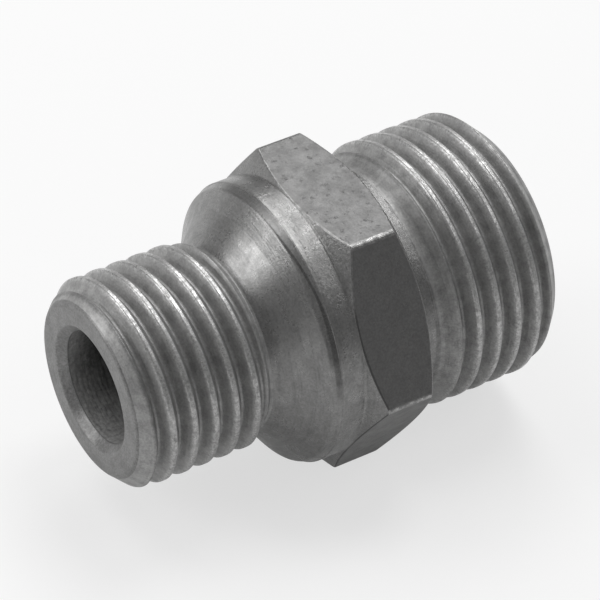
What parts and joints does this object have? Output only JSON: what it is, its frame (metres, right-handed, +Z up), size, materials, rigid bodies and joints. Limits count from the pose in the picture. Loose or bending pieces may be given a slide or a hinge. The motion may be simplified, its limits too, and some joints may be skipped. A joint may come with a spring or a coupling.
{
  "type": "reducing pipe nipple",
  "caption": "Hexagon reducing nipple with a small and a large male thread on one through bore, for joining fittings of unlike thread.",
  "frame": {"origin": "bottom centre of the bounding box, on the hexagon flat that the nipple lies on", "axes": "+X along the turning axis from the small thread to the large thread, +Y across the hexagon's corners, +Z up from the flat that it lies on"},
  "size_m": [0.03, 0.022, 0.019],
  "materials": {
    "steel": "satin"
  },
  "bodies": {
    "root": {"hex_nipple": "steel"}
  },
  "joints": []
}
